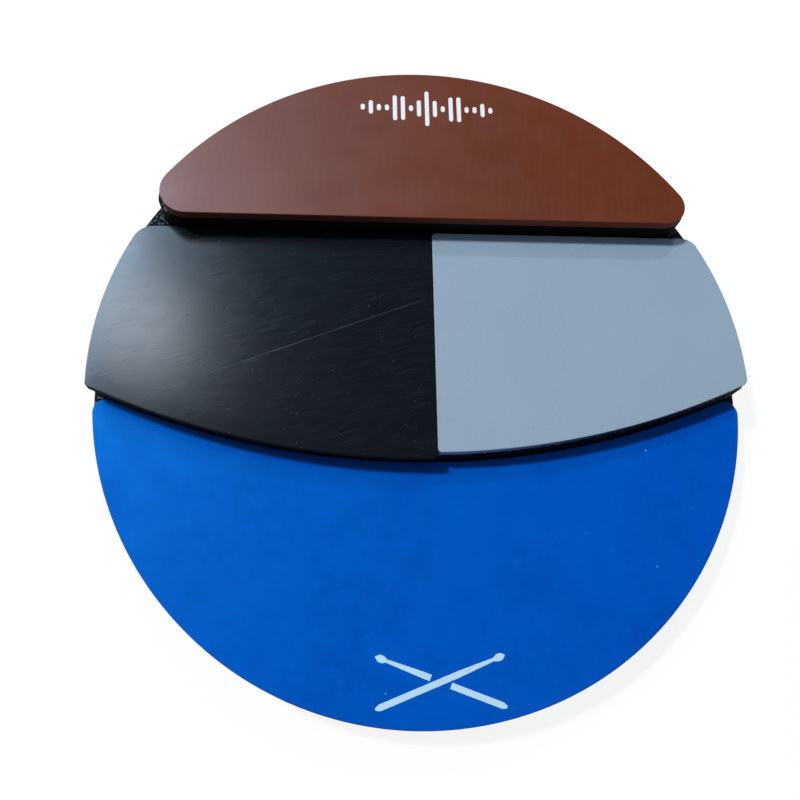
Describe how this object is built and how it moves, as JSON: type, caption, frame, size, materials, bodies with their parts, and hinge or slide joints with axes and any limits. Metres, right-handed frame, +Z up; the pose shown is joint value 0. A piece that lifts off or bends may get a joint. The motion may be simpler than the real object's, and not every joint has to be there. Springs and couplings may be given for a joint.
{
  "type": "practice pad",
  "caption": "Round stepped drum practice pad: playing surfaces of different rubbers on stacked black boards, with a non-slip sheet underneath.",
  "frame": {"origin": "centre of the underside of the non-slip sheet, on the surface that the pad rests on", "axes": "+Z up through the levels; -Y towards the player, where the lowest level is; +X to the player's right"},
  "size_m": [0.3308, 0.3308, 0.0552],
  "materials": {
    "blue_rubber": "satin",
    "black_rubber": "satin",
    "grey_rubber": "matte",
    "red_rubber": "satin",
    "black_board": "matte",
    "non_slip_rubber": "matte"
  },
  "bodies": {
    "root": {"non_slip_sheet": "non_slip_rubber", "base_board": "black_board", "front_pad_blue": "blue_rubber", "middle_riser_board": "black_board", "middle_left_pad_black": "black_rubber", "middle_right_pad_grey": "grey_rubber", "top_riser_board": "black_board", "rear_pad_red": "red_rubber"}
  },
  "joints": []
}
